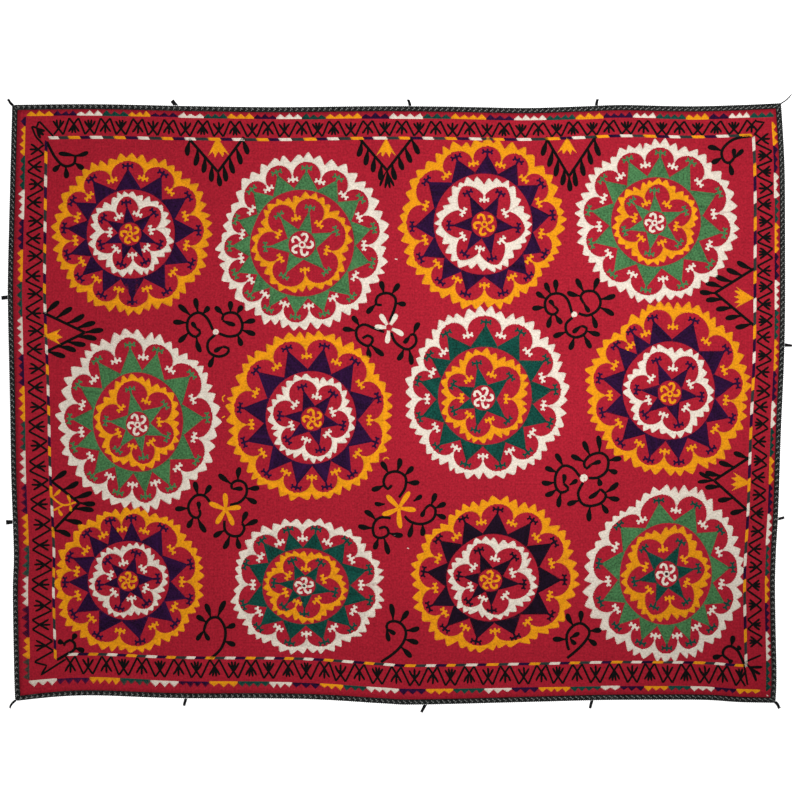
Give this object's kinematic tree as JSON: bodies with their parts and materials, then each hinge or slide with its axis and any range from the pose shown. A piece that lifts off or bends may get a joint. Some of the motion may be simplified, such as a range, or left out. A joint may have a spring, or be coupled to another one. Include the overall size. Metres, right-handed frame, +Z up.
{
  "type": "suzani embroidered textile",
  "caption": "Wide rectangular embroidered cloth laid flat, edged on all sides with a plaited braid, with short folded tape tabs on the edges and loose braid ends at the corners.",
  "frame": {"origin": "on the cloth's underside near its middle, on the surface it lies on", "axes": "+X along the long side to the right of the design, +Y to the top of the design, +Z up, out of the embroidered face"},
  "size_m": [2.3731, 1.857, 0.0087],
  "materials": {
    "ground": "matt plain-weave red cotton",
    "braid": "matt plaited charcoal cotton with pale grey strands",
    "tape": "matt black cotton tape and twisted thread ends"
  },
  "bodies": {
    "root": {"ground_cloth": "ground", "braid_top": "braid", "braid_bottom": "braid", "braid_left": "braid", "braid_right": "braid", "tab_top_1": "tape", "tab_top_2": "tape", "tab_top_3": "tape", "tab_left_1": "tape", "tab_left_2": "tape", "tab_right_1": "tape", "tab_right_2": "tape", "tab_bottom_1": "tape", "tab_bottom_2": "tape", "tab_bottom_3": "tape", "tail_top_left": "tape", "tail_top_right": "tape", "tail_bottom_left": "tape", "tail_bottom_right": "tape"}
  },
  "joints": []
}
